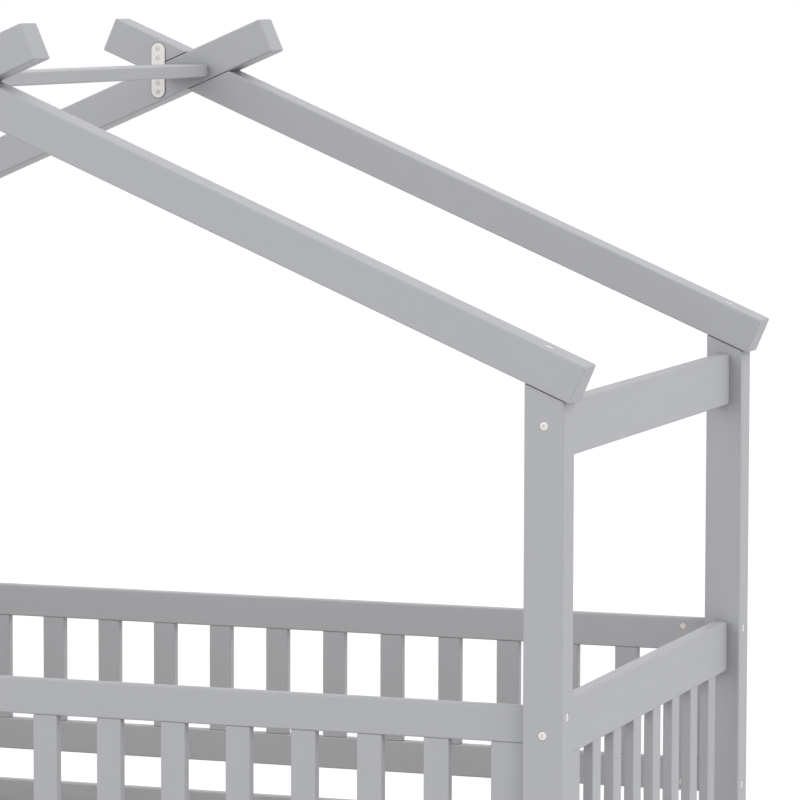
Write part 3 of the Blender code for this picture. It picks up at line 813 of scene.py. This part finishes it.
def post_seats(box, sx, sy):
    """A post's bolt seats, each a place on an outer face and the way into the timber."""
    middle = (box[0] + box[1]) / 2
    outer_x = face_of(box, X, sx)
    outer_y = face_of(box, Y, sy)
    lengthwise = fence_bolts() + side_rail_bolts()
    crosswise = upper_rail_bolts() + end_panel_bolts()
    seats = [(Vector((outer_x, middle.y, z)), Vector((-sx, 0, 0))) for z in lengthwise]
    return seats + [(Vector((middle.x, outer_y, z)), Vector((0, -sy, 0))) for z in crosswise]


def posts():
    """Four posts with sloped tops and sunk seats, and the bolt heads in them."""
    heads = []
    for side, sy in SIDES.items():
        for end, sx in ENDS.items():
            name = f"post_{side}_{end}"
            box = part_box(name)
            seats = post_seats(box, sx, sy)
            cutters = [bolt_seat(place, inward) for place, inward in seats]
            heads += [(place + inward * BOLT_HEAD_SINK, -inward) for place, inward in seats]
            wooden(f"{name}_timber", cut(post_shape(*box, sx), *cutters), FRAME_BODY, [name])
    spread("post_bolts", BOLT, heads, CREAM, "strap_plate", FRAME_BODY)


def lap_notch():
    """The room for the other rafter, in a rafter's own frame: half its thickness, on the -Y side."""
    reach = RAFTER_HEIGHT / math.sin(2 * ROOF_PITCH) + OVERRUN
    half = RAFTER_HEIGHT / 2 + LAP_GAP
    bm = boards([((-reach, -RAFTER_THICK, -half), (reach, SEAT_GAP / 2, half))], 0)
    return moved(bm, Matrix.Rotation(-2 * ROOF_PITCH, 4, "Y"))


def rafter_shape(length, seat_x):
    """A rafter in its own frame, X down along it from the crossing, with its lap and its sunk seat."""
    half_thick = RAFTER_THICK / 2
    half_high = RAFTER_HEIGHT / 2
    bm = boards([((-RAFTER_HORN, -half_thick, -half_high), (length, half_thick, half_high))])
    return cut(bm, bolt_seat((seat_x, 0, half_high), (0, 0, -1)), lap_notch())


def rafters():
    """Four rafters to one pattern, lapped in pairs, and their screws into posts and ridge board."""
    screws = []
    half_high = RAFTER_HEIGHT / 2
    ridge_low, ridge_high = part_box("ridge_board")
    ridge_z = (ridge_low.z + ridge_high.z) / 2
    for side, sy in SIDES.items():
        low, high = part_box(f"rafter_{side}_right")
        gable_y = (low.y + high.y) / 2
        post_low, post_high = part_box(f"post_{side}_right")
        length = post_high.x / math.cos(ROOF_PITCH) + RAFTER_EAVE
        over_post = (post_low.x + post_high.x) / 2
        seat_x = (over_post - half_high * math.sin(ROOF_PITCH)) / math.cos(ROOF_PITCH)
        for end, sx in ENDS.items():
            name = f"rafter_{side}_{end}"
            half_turn = 0 if sx > 0 else math.pi
            turn = Matrix.Rotation(half_turn, 4, "Z") @ Matrix.Rotation(ROOF_PITCH, 4, "Y")
            place = Matrix.Translation((0, gable_y, ridge_z)) @ turn
            bm = rafter_shape(length, seat_x)
            mark_grain(bm, f"rafter {side} {end}")
            bm = cut(moved(bm, place), strap_pocket(side, sy))
            piece(f"{name}_timber", bm, PAINT, "painted_wood", FRAME_BODY, [name])
            seat = place @ Vector((seat_x, 0, half_high - BOLT_HEAD_SINK))
            screws.append((seat, turn.to_3x3() @ Vector((0, 0, 1))))
        outer_y = gable_y + sy * RAFTER_THICK / 2
        for x in (-RIDGE_SCREW_SPACING / 2, RIDGE_SCREW_SPACING / 2):
            screws.append((Vector((x, outer_y, ridge_z)), Vector((0, sy, 0))))
    # These screws have the same heads as the bolts
    spread("rafter_bolts", BOLT, screws, CREAM, "strap_plate", FRAME_BODY)


def ridge_board():
    wooden("ridge_timber", boards([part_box("ridge_board")]), FRAME_BODY, ["ridge_board"])


def round_ended(width, length, middle, from_y, to_y):
    """A flat upright bar with half-round ends, between two planes square to Y."""
    radius = width / 2
    flank = length / 2 - radius
    bm = bmesh.new()
    outline = []
    for centre, start in ((flank, 0), (-flank, math.pi)):
        for x, z in half_circle(radius, start):
            outline.append(bm.verts.new((middle.x + x, from_y, middle.z + (centre + z))))
    return pushed_out(bm, outline, (0, to_y - from_y, 0))


def strap_pocket(side, sy):
    """The shallow pocket in a gable's inner face that a strap plate sits in."""
    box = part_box(f"lap_strap_{side}")
    middle = (box[0] + box[1]) / 2
    gable_face = face_of(box, Y, sy)
    width = STRAP_WIDTH + 2 * POCKET_CLEAR
    length = STRAP_LENGTH + 2 * POCKET_CLEAR
    return round_ended(width, length, middle, gable_face - sy * OVERRUN, gable_face + sy * POCKET_DEPTH)


def straps():
    """Strap plates with round ends and four countersunk screws each, let a little way into the timber."""
    screws = []
    for side, sy in SIDES.items():
        name = f"lap_strap_{side}"
        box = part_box(name)
        middle = (box[0] + box[1]) / 2
        face_y = face_of(box, Y, -sy)
        back_y = face_of(box, Y, sy) + sy * STRAP_LET_IN
        bm = round_ended(STRAP_WIDTH, STRAP_LENGTH, middle, face_y, back_y)
        rim = [edge for edge in bm.edges if all(abs(vert.co.y - face_y) < STRAP_RIM for vert in edge.verts)]
        round_edges(bm, rim, STRAP_RIM, RIM_STEPS)
        places = [Vector((middle.x, face_y, middle.z + z)) for z in STRAP_SCREWS]
        cutters = [seat_cut(SINK_RADIUS, SINK_DEPTH, place, (0, sy, 0)) for place in places]
        screws += [(place, Vector((0, -sy, 0))) for place in places]
        piece(f"{name}_plate", cut(bm, *cutters), CREAM, "strap_plate", FRAME_BODY, [name])
    spread("strap_screws", STRAP_SCREW, screws, CREAM, "strap_plate", FRAME_BODY)


def railed(name, box, along, across, inward, heights):
    """A single rail between two posts, with holes for its barrel nuts, whose places it gives."""
    nuts = nut_places(box, along, across, inward, heights)
    wooden(f"{name}_timber", holed(boards([box]), nuts), FRAME_BODY, [name])
    return nuts


def picket_faces(sign, rail_outer, recess, thick):
    """The two faces of the pickets, set a little way behind the outer face of their rails."""
    outer = rail_outer - sign * recess
    return sorted((outer, outer - sign * thick))


def end_panel(end, sx):
    """An end's guard rail, pickets and lower rail, in two pieces; gives the places of its barrel nuts."""
    name = f"end_panel_{end}"
    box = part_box(name)
    low, high = box
    guard_low = Vector((low.x, low.y, high.z - GUARD_RAIL_HEIGHT))
    lower_high = Vector((high.x, high.y, low.z + LOWER_RAIL_HEIGHT))
    near, far = picket_faces(sx, face_of(box, X, sx), END_PICKET_RECESS, END_PICKET_THICK)
    bottom = lower_high.z - END_PICKET_TENON
    top = guard_low.z + END_PICKET_TENON
    half = END_PICKET_WIDTH / 2
    middles = pitched(low.y, high.y, END_PICKETS, END_PICKET_WIDTH)
    pickets = [((near, y - half, bottom), (far, y + half, top)) for y in middles]
    wooden(f"end_pickets_{end}", boards(pickets, SLIM_ROUND), FRAME_BODY)
    nuts = nut_places(box, Y, X, -sx, end_panel_bolts())
    rails = holed(boards([(guard_low, high), (low, lower_high)]), nuts)
    wooden(f"end_rails_{end}", rails, FRAME_BODY, [name])
    return nuts


def end_frames():
    """At each end the upper rail and the panel, with their barrel nuts."""
    nuts = []
    for end, sx in ENDS.items():
        name = f"upper_end_rail_{end}"
        nuts += railed(name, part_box(name), Y, X, -sx, upper_rail_bolts())
        nuts += end_panel(end, sx)
    spread("end_nuts", NUT, nuts, BLUSH, "strap_plate", FRAME_BODY)


def fence(side, sy):
    """A fence's rails, with stiles and pickets butted between them; gives the places of its barrel nuts."""
    name = f"fence_{side}"
    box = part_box(name)
    low, high = box
    top_low = Vector((low.x, low.y, high.z - FENCE_RAIL_HEIGHT))
    bottom_high = Vector((high.x, high.y, low.z + FENCE_RAIL_HEIGHT))
    near, far = picket_faces(sy, face_of(box, Y, sy), FENCE_PICKET_RECESS, FENCE_PICKET_THICK)
    bottom = bottom_high.z - SEAT_GAP
    top = top_low.z + SEAT_GAP
    half = FENCE_PICKET_WIDTH / 2
    stile_in = high.x - STILE_WIDTH
    middles = pitched(-stile_in, stile_in, FENCE_PICKETS, FENCE_PICKET_WIDTH)
    spans = [(low.x, -stile_in), (stile_in, high.x)] + [(x - half, x + half) for x in middles]
    uprights = [((left, near, bottom), (right, far, top)) for left, right in spans]
    wooden(f"fence_pickets_{side}", boards(uprights, SLIM_ROUND), FRAME_BODY)
    nuts = nut_places(box, X, Y, -sy, fence_bolts())
    rails = holed(boards([(top_low, high), (low, bottom_high)]), nuts)
    wooden(f"fence_rails_{side}", rails, FRAME_BODY, [name])
    return nuts


def long_sides():
    """On each long side the fence and the side rail below it, with their barrel nuts."""
    nuts = []
    for side, sy in SIDES.items():
        nuts += fence(side, sy)
        name = f"side_rail_{side}"
        nuts += railed(name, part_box(name), X, Y, -sy, side_rail_bolts())
    spread("side_nuts", NUT, nuts, BLUSH, "strap_plate", FRAME_BODY)


def slats(start):
    """Finishes slats, which show as they are; gives the places of their screws down into the ledgers."""
    screws = []
    for name in nodes_named(start):
        finish_solid(name, PINE_CROSS)
        low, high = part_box(name)
        for y in (low.y + LEDGER / 2, high.y - LEDGER / 2):
            screws.append((Vector(((low.x + high.x) / 2, y, high.z)), Vector((0, 0, 1))))
    return screws


def deck():
    """The pine ledgers and slats, and the screws that hold ledgers to side rails and slats to ledgers."""
    screws = []
    for name in nodes_named("deck_ledger"):
        finish_solid(name, PINE_LONG)
        low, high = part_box(name)
        inward = -1 if low.y > 0 else 1
        inner = face_of((low, high), Y, inward)
        for x in pitched(low.x, high.x, LEDGER_SCREWS, 0):
            screws.append((Vector((x, inner, (low.z + high.z) / 2)), Vector((0, inward, 0))))
    screws += slats("deck_slat")
    spread("deck_screws", SCREW, screws, ZINC, "zinc_steel", FRAME_BODY)


# The trundle

def trundle_long_board(side, sy, heights):
    """The trundle's front or back board and its glued ledger; gives the places of its corner screws."""
    name = f"trundle_{side}"
    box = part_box(name)
    low, high = box
    face = face_of(box, Y, sy)
    inner = face - sy * TRUNDLE_BOARD
    near, far = sorted((face, inner))
    wooden(f"{name}_timber", boards([((low.x, near, low.z), (high.x, far, high.z))]), TRUNDLE_BODY, [name])
    ledger_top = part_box("trundle_slat_01")[0].z - SEAT_GAP
    reach = high.x - TRUNDLE_BOARD - LEDGER_END_CLEAR
    near, far = sorted((inner, inner - sy * LEDGER))
    ledger = ((-reach, near, ledger_top - LEDGER), (reach, far, ledger_top))
    wooden(f"trundle_ledger_{side}", boards([ledger], SLIM_ROUND), TRUNDLE_BODY)
    corner = high.x - TRUNDLE_BOARD / 2
    return [(Vector((sx * corner, face, z)), Vector((0, sy, 0))) for sx in (-1, 1) for z in heights]


def trundle_boards():
    """The rolling frame's four boards, and the screws through the long ones into the end ones."""
    end_low, end_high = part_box("trundle_end_right")
    heights = (end_low.z + LEDGER, end_high.z - LEDGER)
    screws = []
    for side, sy in SIDES.items():
        screws += trundle_long_board(side, sy, heights)
    for end in ENDS:
        name = f"trundle_end_{end}"
        wooden(f"{name}_timber", boards([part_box(name)]), TRUNDLE_BODY, [name])
    spread("trundle_screws", SCREW, screws, CREAM, "strap_plate", TRUNDLE_BODY)


def trundle_deck():
    spread("trundle_deck_screws", SCREW, slats("trundle_slat"), ZINC, "zinc_steel", TRUNDLE_BODY)


def rib(index):
    """One rib of a wheel, from side to side through its web, in a frame with the axle on Z."""
    reach = WHEEL_WIDTH / 2 - RIB_DROP
    low = (WHEEL_HUB_RADIUS - RIB_DROP, -RIB_THICK / 2, -reach)
    high = (WHEEL_RIM_RADIUS + RIB_DROP / 2, RIB_THICK / 2, reach)
    turn = Matrix.Rotation(math.tau * index / RIBS, 4, "Z")
    return moved(boards([(low, high)], RIB_ROUND, RIM_STEPS), turn)


def wheel_shape():
    """A dished wheel with a crowned tread, a bore and ribs between hub and rim, turned about X."""
    half = WHEEL_WIDTH / 2
    hub = WHEEL_HUB_WIDTH / 2
    web = WHEEL_WEB / 2
    crown = [
        (WHEEL_RADIUS - WHEEL_CROWN * (1 - math.sin(angle)), half - WHEEL_CROWN * (1 - math.cos(angle)))
        for angle in quarter_angles()
    ]
    side = [
        (WHEEL_BORE, hub),
        (WHEEL_HUB_RADIUS, hub),
        (WHEEL_HUB_RADIUS + RIB_DROP / 2, hub - RIB_DROP),
        (WHEEL_DISH_RADIUS, web),
        (WHEEL_RIM_RADIUS - RIB_DROP, web),
        (WHEEL_RIM_RADIUS, half - RIB_DROP / 2),
        (WHEEL_RIM_RADIUS + RIB_DROP / 2, half),
    ] + crown
    other_side = [(radius, -height) for radius, height in side]
    dish = turned(other_side + side[::-1], WHEEL_SIDES)
    bm = joined(dish, merged(*[rib(index) for index in range(RIBS)]))
    return moved(bm, Matrix.Rotation(math.pi / 2, 4, "Y"))


def bracket_shape(sx):
    """A pressed channel on a plate, about the wheel's centre, with ears that the axle goes through."""
    shoulder = BRACKET_WEB_TOP - WHEEL_RADIUS
    side = half_circle(BRACKET_EAR_RADIUS, math.pi)
    side += [(BRACKET_SHOULDER / 2, shoulder), (-BRACKET_SHOULDER / 2, shoulder)]
    bm = bmesh.new()
    ring = [bm.verts.new((-BRACKET_OUTSIDE / 2, y, z)) for y, z in side]
    pushed_out(bm, ring, (BRACKET_OUTSIDE, 0, 0))
    half_y = BRACKET_PLATE_WIDTH / 2
    half_in = BRACKET_INSIDE / 2
    space_low = (-half_in, -half_y, -WHEEL_RADIUS - OVERRUN)
    space_high = (half_in, half_y, BRACKET_SPACE_TOP - WHEEL_RADIUS)
    bm = cut(bm, boards([(space_low, space_high)], BRACKET_WALL / 2, BEND_STEPS))
    near, far = sorted((sx * half_in, sx * BRACKET_OUTSIDE / 2))
    plate_low = (near, -half_y, BRACKET_SPACE_TOP - BRACKET_WALL - WHEEL_RADIUS)
    plate_high = (far, half_y, BRACKET_TOP - WHEEL_RADIUS)
    bm = joined(bm, boards([(plate_low, plate_high)], 0))
    bm.normal_update()
    sharp = [
        edge for edge in bm.edges
        if len(edge.link_faces) == 2 and edge.calc_face_angle() > SMOOTH_ANGLE
    ]
    round_edges(bm, sharp, BRACKET_ROUND, RIM_STEPS)
    hole = rod(AXLE_RADIUS + SEAT_GAP, -BRACKET_OUTSIDE, BRACKET_OUTSIDE, aimed((0, 0, 0), (1, 0, 0)))
    return cut(bm, hole)


def bracket_screws(sx):
    """The places of a bracket plate's four screws, about the wheel's centre."""
    reach = BRACKET_PLATE_WIDTH / 2 - BRACKET_HOLE_INSET
    heights = (BRACKET_WEB_TOP + BRACKET_HOLE_INSET, BRACKET_TOP - BRACKET_HOLE_INSET)
    face = sx * BRACKET_INSIDE / 2
    return [Vector((face, y, z - WHEEL_RADIUS)) for y in (-reach, reach) for z in heights]


def axle_shape(sx):
    """A headed axle along X, its head on the side towards the bed's middle and its other end rounded."""
    shank = BRACKET_INSIDE / 2 + BRACKET_WALL
    head = shank + SEAT_GAP
    profile = [
        (0, -shank - AXLE_END_PROUD),
        (AXLE_RADIUS - AXLE_END_PROUD, -shank - AXLE_END_PROUD),
        (AXLE_RADIUS, -shank),
        (AXLE_RADIUS, head),
        (AXLE_HEAD_RADIUS, head),
        (AXLE_HEAD_RADIUS, head + AXLE_HEAD_THICK - AXLE_HEAD_ROUND),
        (AXLE_HEAD_RADIUS - AXLE_HEAD_ROUND, head + AXLE_HEAD_THICK),
        (0, head + AXLE_HEAD_THICK),
    ]
    return moved(turned(profile), aimed((0, 0, 0), (-sx, 0, 0)))


def casters():
    """Four casters: the bracket, axle and screws ride on the trundle, and each wheel on its own body."""
    screws = []
    for side in SIDES:
        for end, sx in ENDS.items():
            name = f"{side}_{end}"
            low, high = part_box(f"caster_wheel_{name}")
            centre = Vector(((low.x + high.x) / 2, (low.y + high.y) / 2, WHEEL_RADIUS))
            parts = [
                ("wheel", wheel_shape(), NYLON, "dark_nylon", f"wheel_{name}"),
                ("bracket", bracket_shape(sx), ZINC, "zinc_steel", TRUNDLE_BODY),
                ("axle", axle_shape(sx), ZINC, "zinc_steel", TRUNDLE_BODY),
            ]
            for part, bm, material, slot, body in parts:
                moved(bm, Matrix.Translation(centre))
                piece(f"{part}_{name}", bm, material, slot, body, [f"caster_{part}_{name}"])
            screws += [(centre + place, Vector((-sx, 0, 0))) for place in bracket_screws(sx)]
    spread("caster_screws", SCREW, screws, ZINC, "zinc_steel", TRUNDLE_BODY)


# Stage, light and camera

def seen_directly(tree):
    """One for rays that come from the camera or by way of a mirror or glass, and nought for the rest."""
    path = node(tree, "ShaderNodeLightPath")
    first = sums(tree, "MAXIMUM", path.outputs["Is Camera Ray"], path.outputs["Is Glossy Ray"])
    return sums(tree, "MAXIMUM", first, path.outputs["Is Transmission Ray"])


def floor():
    """A wide pale floor that keeps the bed's shadow, and looks a little brighter than it lights."""
    bm = bmesh.new()
    bmesh.ops.create_grid(bm, x_segments=1, y_segments=1, size=FLOOR_WIDTH / 2)
    obj = bpy.data.objects.new("floor", as_mesh(bm, "floor"))
    bpy.context.scene.collection.objects.link(obj)
    material, tree, shader = shader_of("studio_floor")
    tree.nodes.remove(shader)
    diffuse = node(tree, "ShaderNodeBsdfDiffuse")
    diffuse.inputs["Color"].default_value = (FLOOR_WHITE, FLOOR_WHITE, FLOOR_WHITE, 1)
    glow = node(tree, "ShaderNodeEmission")
    tree.links.new(sums(tree, "MULTIPLY", seen_directly(tree), FLOOR_LIFT), glow.inputs["Strength"])
    both = node(tree, "ShaderNodeAddShader")
    tree.links.new(diffuse.outputs["BSDF"], both.inputs[0])
    tree.links.new(glow.outputs["Emission"], both.inputs[1])
    tree.links.new(both.outputs["Shader"], tree.nodes["Material Output"].inputs["Surface"])
    obj.data.materials.append(material)


def sky():
    """An even sky that looks white and lights more dimly."""
    world = bpy.data.worlds.new("studio")
    bpy.context.scene.world = world
    world.use_nodes = True
    tree = world.node_tree
    background = tree.nodes["Background"]
    background.inputs["Color"].default_value = (1, 1, 1, 1)
    strength = ranged(tree, seen_directly(tree), (0, 1), (SKY_STRENGTH, 1))
    tree.links.new(strength, background.inputs["Strength"])


def sun(name, strength, coming_from):
    lamp = bpy.data.lights.new(name, "SUN")
    lamp.energy = strength
    lamp.angle = SOFT_ANGLE
    obj = bpy.data.objects.new(name, lamp)
    bpy.context.scene.collection.objects.link(obj)
    obj.rotation_mode = "QUATERNION"
    obj.rotation_quaternion = Vector(coming_from).to_track_quat("Z", "Y")


def lights():
    sky()
    sun("front_light", FRONT_STRENGTH, FRONT_FROM)
    sun("right_light", RIGHT_STRENGTH, RIGHT_FROM)
    sun("back_light", BACK_STRENGTH, BACK_FROM)


def camera():
    """The camera where the photograph was taken from, turned by its heading, dip and roll."""
    lens = bpy.data.cameras.new("photo_camera")
    lens.sensor_width = SENSOR_WIDTH
    lens.lens = CAMERA_LENS
    lens.clip_end = FLOOR_WIDTH * 2
    obj = bpy.data.objects.new("photo_camera", lens)
    bpy.context.scene.collection.objects.link(obj)
    level = math.cos(CAMERA_DIP)
    ahead_x = math.cos(CAMERA_HEADING)
    ahead_y = math.sin(CAMERA_HEADING)
    forward = Vector((ahead_x * level, ahead_y * level, -math.sin(CAMERA_DIP)))
    right = Vector((ahead_y, -ahead_x, 0))
    turn = Matrix((right, right.cross(forward), -forward)).transposed().to_4x4()
    obj.matrix_world = Matrix.Translation(CAMERA_PLACE) @ turn @ Matrix.Rotation(CAMERA_ROLL, 4, "Z")
    bpy.context.scene.camera = obj


# The frame's paint has painted shade in its inside corners; the trundle's paint has none
PAINT = painted_wood("painted_wood", PAINTED_CORNER_SHADE)
TRUNDLE_PAINT = painted_wood("painted_trundle_wood", 0)
PINE_CROSS = bare_pine("bare_pine_across", (0, 0, math.pi / 2))
PINE_LONG = bare_pine("bare_pine_along", (0, 0, 0))
CREAM = coated_steel("cream_coated_steel", CREAM_COLOUR, CREAM_ROUGHNESS)
BLUSH = coated_steel("blush_plated_steel", BLUSH_COLOUR, BLUSH_ROUGHNESS)
ZINC = zinc_steel()
NYLON = dark_nylon()
BOLT = bolt_mesh()
NUT = nut_mesh()
SCREW = screw_mesh(SCREW_RADIUS)
STRAP_SCREW = screw_mesh(STRAP_SCREW_RADIUS, STRAP_SCREW_DOME)

camera()
posts()
rafters()
ridge_board()
straps()
end_frames()
long_sides()
deck()
trundle_boards()
trundle_deck()
casters()
floor()
lights()

bpy.context.scene.view_settings.view_transform = "Standard"
